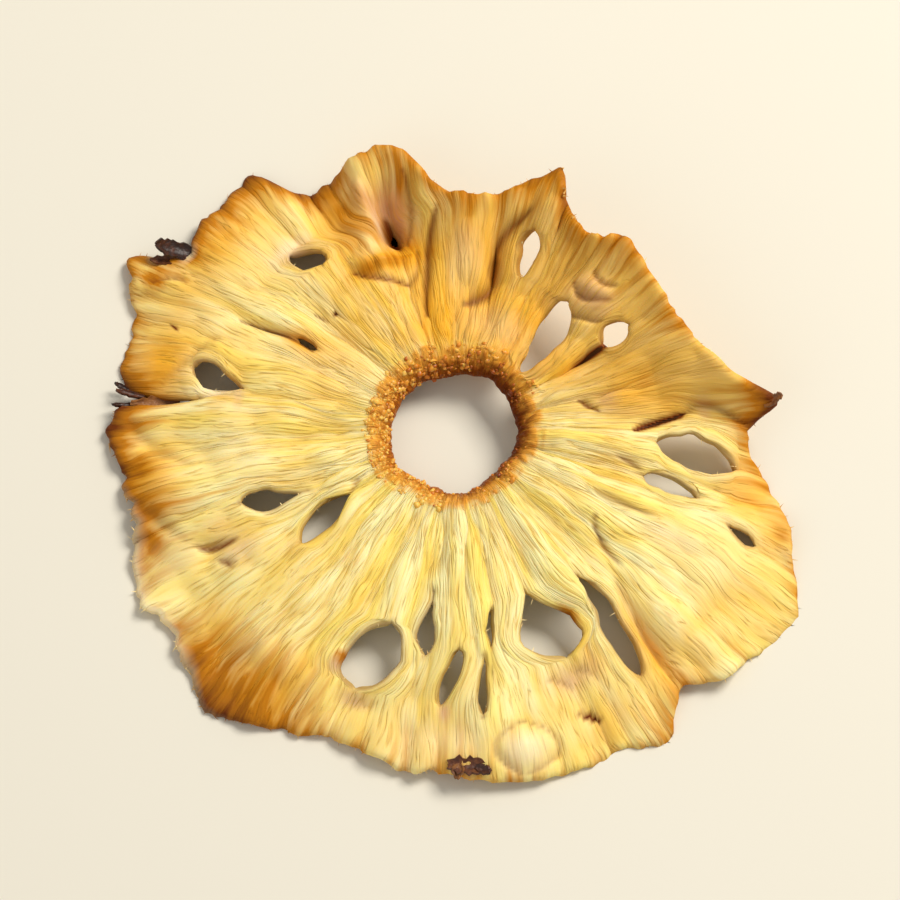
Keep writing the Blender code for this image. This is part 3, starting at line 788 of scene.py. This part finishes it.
def core_sugar():
    """Dried fruit sugar: amber, glossy and let through by light, which gives the hole its glints."""
    material, shader, tree, add = new_material("core_sugar")
    tint = add("Attribute", {}, "Fac", attribute_name="tint")
    colour = painted(add, linear("fcc458"), (
        (tint, 0.0, 0.35, 1.0, "e8982a"),
        (tint, 0.35, 0.7, 1.0, "b85e06"),
        (tint, 0.7, 1.0, 1.0, "783200"),
    ))
    tree.links.new(colour, shader.inputs["Base Color"])
    shader.inputs["Roughness"].default_value = 0.35
    shader.inputs["IOR"].default_value = 1.48
    shader.inputs["Subsurface Weight"].default_value = 0.3
    shader.inputs["Subsurface Radius"].default_value = (1.0, 0.5, 0.15)
    shader.inputs["Subsurface Scale"].default_value = 0.0006
    return material


grain_points, grain_faces, grain_tints = core_grains()
fruit_piece("core_grains", laid(grain_points), grain_faces, {"tint": grain_tints}, core_sugar())


# The frayed fibres: ends of the fruit's own fibres that the knife left standing along the rim and in the
# chambers, dried stiff. They are pale straw, and brown where the rim is brown.
RIM_FIBRES = 180
LIP_FIBRES = 60
FIBRE_LENGTHS = (0.15, 0.55)
FIBRE_RADII = (0.07, 0.17)
FIBRE_ROOT = 0.35
FIBRE_STEPS = np.linspace(0, 1, 5)
# Rim fibres stand in this band, most of them round one bearing, and the others stay this far from the
# rim and from the hole's axis
RIM_BAND = 1.2
RIM_FIBRES_BEARING = 205
RIM_FIBRES_SPREAD = 40
LIP_FROM_RIM = 2
LIP_FROM_AXIS = 12


def frayed_fibres():
    """Tapered three-sided strands that stand out from the sheet's edges: points, faces and tints."""
    draw = np.random.default_rng(61)
    places, marks = sheet[0], sheet[3]
    way = places[sheet_rims[:, 1]] - places[sheet_rims[:, 0]]
    outward = np.zeros_like(places)
    np.add.at(outward, sheet_rims[:, 0], np.stack([way[:, 1], -way[:, 0], 0 * way[:, 0]], axis=-1))
    edge = np.unique(sheet_rims)
    reach = np.linalg.norm(places[edge, :2], axis=1)
    bearing = np.degrees(np.arctan2(places[edge, 1], places[edge, 0])) % 360
    from_rim = reach_at(bearing, 1) - reach
    chance = 0.25 + 0.75 * bell(off(bearing, RIM_FIBRES_BEARING) / RIM_FIBRES_SPREAD)
    at_rim = (from_rim < RIM_BAND) & (draw.random(len(edge)) < chance)
    at_lip = (from_rim > LIP_FROM_RIM) & (reach > LIP_FROM_AXIS)
    sides = np.array([[1, 0], [-0.5, 0.87], [-0.5, -0.87]])
    points, faces, tints = [], [], []
    for group, number in ((edge[at_rim], RIM_FIBRES), (edge[at_lip], LIP_FIBRES)):
        for place in draw.choice(group, number, replace=False):
            heading = outward[place] / (np.linalg.norm(outward[place]) + 1e-9)
            heading = heading + draw.normal(0, (0.5, 0.5, 0.3))
            heading /= np.linalg.norm(heading)
            across = np.cross(heading, (0, 0, 1))
            across /= np.linalg.norm(across)
            upward = np.cross(across, heading)
            length, radius = draw.uniform(*FIBRE_LENGTHS), draw.uniform(*FIBRE_RADII)
            bend = draw.normal(0, 0.35, 3) * length
            start = places[place] - FIBRE_ROOT * heading + (0, 0, draw.uniform(-0.05, 0.05))
            first = len(points) * len(FIBRE_STEPS) * 3
            rings = []
            for step in FIBRE_STEPS:
                middle = start + heading * (length + FIBRE_ROOT) * step + bend * step**2
                size = radius * (1.05 - step)
                rings.append(middle + size * (sides[:, :1] * across + sides[:, 1:] * upward))
            points.append(np.concatenate(rings))
            for ring in range(len(FIBRE_STEPS) - 1):
                for side in range(3):
                    a, b = first + 3 * ring + side, first + 3 * ring + (side + 1) % 3
                    faces += [(a, b, b + 3), (a, b + 3, a + 3)]
            last = first + 3 * (len(FIBRE_STEPS) - 1)
            faces += [(first + 2, first + 1, first), (last, last + 1, last + 2)]
            # Browner where the rim is brown, paler where it is painted pale, which at the frayed rim is
            # partly a painted highlight
            tint = np.clip(marks[place, 0] - marks[place, 2] + draw.normal(0, 0.15), 0, 1)
            tints.append(np.full((3 * len(FIBRE_STEPS), 4), tint))
    return np.concatenate(points), np.array(faces), np.concatenate(tints)


def dry_fibre():
    """Dried plant fibre: matt straw that turns brown towards the browned rim."""
    material, shader, tree, add = new_material("dry_fibre")
    tint = add("Attribute", {}, "Fac", attribute_name="tint")
    colour = painted(add, linear("fbe3a4"), (
        (tint, 0.1, 0.5, 1.0, "e6b45c"),
        (tint, 0.5, 1.0, 1.0, "a8681c"),
    ))
    tree.links.new(colour, shader.inputs["Base Color"])
    shader.inputs["Roughness"].default_value = 0.7
    return material


strand_points, strand_faces, strand_tints = frayed_fibres()
fruit_piece("frayed_fibres", laid(strand_points), strand_faces, {"tint": strand_tints}, dry_fibre())


# The rind scraps: bits of the eyes' scales that the peeling knife left in the rim's notches. They dried
# nearly black and curled up, and are as thin and brittle as leaves.
SCRAP_THICKNESS = 0.28
# Points along a scrap and across it
SCRAP_LONG = 13
SCRAP_WIDE = 7
# Each scrap: the place of its root, its heading in degrees, length, width, how steeply it leaves the
# root, how far it curls up by its tip, both in degrees, and how brown instead of black it is
SCRAPS = (
    ((-31.8, 23.6, 1.9), 174, 5.2, 2.5, 4, 45, 0.15),
    ((-33.4, 22.9, 1.9), 184, 3.8, 1.3, 4, 15, 0.5),
    ((-1.4, -41.7, 2.45), 356, 5.2, 2.2, 2, -6, 0.5),
    ((2.2, -41.9, 2.5), 335, 2.0, 1.2, 8, 10, 0.3),
    ((0.4, -41.5, 2.6), 262, 1.8, 1.3, 0, -10, 0.85),
    ((-33.0, 4.3, 0.9), 179, 6.0, 1.7, 0, 6, 0.95),
    ((-37.6, 5.3, 0.8), 172, 3.6, 0.8, 6, 25, 0.35),
    ((-38.6, 4.4, 0.6), 188, 3.2, 0.6, 10, 30, 0.15),
    ((-39.2, 3.7, 0.6), 200, 2.2, 0.7, 5, 20, 0.2),
    ((-39.6, 6.1, 1.0), 158, 2.0, 0.6, 8, 30, 0.1),
    ((36.9, 1.9, 7.0), 24, 2.6, 1.3, 15, 20, 0.75),
)


def curled_scrap(root, heading, length, width, rise, curl, seed):
    """A leaf-shaped scrap that curls up along its length, with an uneven edge: points and faces."""
    draw = np.random.default_rng(seed)
    along, over = np.linspace(0, 1, SCRAP_LONG), np.linspace(-1, 1, SCRAP_WIDE)
    slope = np.radians(rise + curl * along)
    spine = np.cumsum(np.stack([np.cos(slope), np.sin(slope)]) * length / (SCRAP_LONG - 1), axis=1)
    half = width / 2 * np.clip(np.sin(math.pi * (0.12 + 0.84 * along)), 0, 1) ** 0.7
    half = half * draw.uniform(0.75, 1.2, SCRAP_LONG)
    size = (SCRAP_LONG, SCRAP_WIDE)
    forward = spine[0][:, None] + draw.normal(0, 0.03 * width, size)
    sideways = half[:, None] * over + draw.normal(0, 0.02 * width, size)
    upward = spine[1][:, None] + 0.45 * half[:, None] * over**2 + draw.normal(0, 0.025 * width, size)
    turn = math.radians(heading)
    places = np.stack([
        root[0] + forward * math.cos(turn) - sideways * math.sin(turn),
        root[1] + forward * math.sin(turn) + sideways * math.cos(turn),
        root[2] + upward,
    ], axis=-1).reshape(-1, 3)
    grid = np.arange(SCRAP_LONG * SCRAP_WIDE).reshape(size)
    cells = np.stack([grid[:-1, :-1], grid[1:, :-1], grid[1:, 1:], grid[:-1, 1:]], axis=-1).reshape(-1, 4)
    return thickened(places, cells, np.full((len(places), 1), SCRAP_THICKNESS))[:2]


def dried_rind():
    """Dried rind: hard and almost black, with a dull shine and brown where it is thin."""
    material, shader, tree, add = new_material("dried_rind")
    tint = add("Attribute", {}, "Fac", attribute_name="tint")
    place = add("TexCoord", {}, "Object")
    # Blotches about 0.7 mm across
    blotches = add("TexNoise", {"Vector": place, "Scale": 1400, "Detail": 3, "Roughness": 0.6})
    mottled = add("Math", {0: blotches, 1: 1.2, 2: -0.6}, operation="MULTIPLY_ADD")
    mottled = add("Math", {0: tint, 1: mottled}, operation="ADD")
    colour = painted(add, linear("2a1209"), (
        (mottled, 0.1, 0.5, 1.0, "5a2c12"),
        (mottled, 0.5, 1.1, 1.0, "9a6430"),
    ))
    tree.links.new(colour, shader.inputs["Base Color"])
    bump = add("Bump", {"Strength": 0.5, "Distance": 0.0003, "Height": blotches})
    tree.links.new(bump, shader.inputs["Normal"])
    shader.inputs["Roughness"].default_value = 0.45
    return material


scrap_points, scrap_faces, scrap_tints = [], [], []
for scrap_number, (root, *scrap_shape, scrap_brown) in enumerate(SCRAPS):
    points, faces = curled_scrap(root, *scrap_shape, seed=71 + scrap_number)
    scrap_faces.append(faces + sum(len(items) for items in scrap_points))
    scrap_points.append(points)
    scrap_tints.append(np.full((len(points), 4), scrap_brown))
fruit_piece(
    "rind_scraps", laid(np.concatenate(scrap_points)), np.concatenate(scrap_faces),
    {"tint": np.concatenate(scrap_tints)}, dried_rind(),
)


# The table: a pale cream board that runs out of the picture, matt, with no edge in sight.
TABLE_COLOUR = "e8e3d4"
TABLE_HALF = 1
table_corners = [(x * TABLE_HALF, y * TABLE_HALF, 0) for x, y in ((-1, -1), (1, -1), (1, 1), (-1, 1))]
table_mesh = bpy.data.meshes.new("table")
table_mesh.from_pydata(table_corners, [], [(0, 1, 2, 3)])
table = bpy.data.objects.new("table", table_mesh)
bpy.context.scene.collection.objects.link(table)
cream = bpy.data.materials.new("cream_board")
cream.use_nodes = True
cream.node_tree.nodes["Principled BSDF"].inputs["Base Color"].default_value = linear(TABLE_COLOUR)
cream.node_tree.nodes["Principled BSDF"].inputs["Roughness"].default_value = 0.9
table_mesh.materials.append(cream)


# The light: a bright soft window up on the right and behind, and a paler one in front on the left.
def soft_light(name, place, size, watts, colour):
    """A square lamp that aims at the ring."""
    lamp = bpy.data.lights.new(name, "AREA")
    lamp.size = size
    lamp.energy = watts
    lamp.color = linear(colour)[:3]
    holder = bpy.data.objects.new(name, lamp)
    holder.location = place
    aim = -holder.location
    holder.rotation_euler = aim.to_track_quat("-Z", "Y").to_euler()
    bpy.context.scene.collection.objects.link(holder)


soft_light("window", (0.45, 0.35, 0.65), 0.35, 7.2, "fffaf2")
soft_light("fill", (-0.5, -0.4, 0.5), 0.6, 0.7, "fffcf8")
world = bpy.data.worlds.new("room")
world.use_nodes = True
world.node_tree.nodes["Background"].inputs["Color"].default_value = linear("fffdf9")
world.node_tree.nodes["Background"].inputs["Strength"].default_value = 0.40
bpy.context.scene.world = world
bpy.context.scene.view_settings.view_transform = "Standard"


# The camera: it looks down on the ring from the front at the photograph's angle.
VIEW_ELEVATION = math.radians(70)
VIEW_DISTANCE = 0.60
LENS_MM = 200
SENSOR_MM = 36
focus = [(a + b) / 2 for a, b in zip(ring_low, ring_high)]
camera = bpy.data.objects.new("camera", bpy.data.cameras.new("camera"))
camera.data.lens = LENS_MM
camera.data.sensor_width = SENSOR_MM
camera.location = (
    focus[0],
    focus[1] - VIEW_DISTANCE * math.cos(VIEW_ELEVATION),
    focus[2] + VIEW_DISTANCE * math.sin(VIEW_ELEVATION),
)
camera.rotation_euler = (math.pi / 2 - VIEW_ELEVATION, 0, 0)
bpy.context.scene.collection.objects.link(camera)
bpy.context.scene.camera = camera
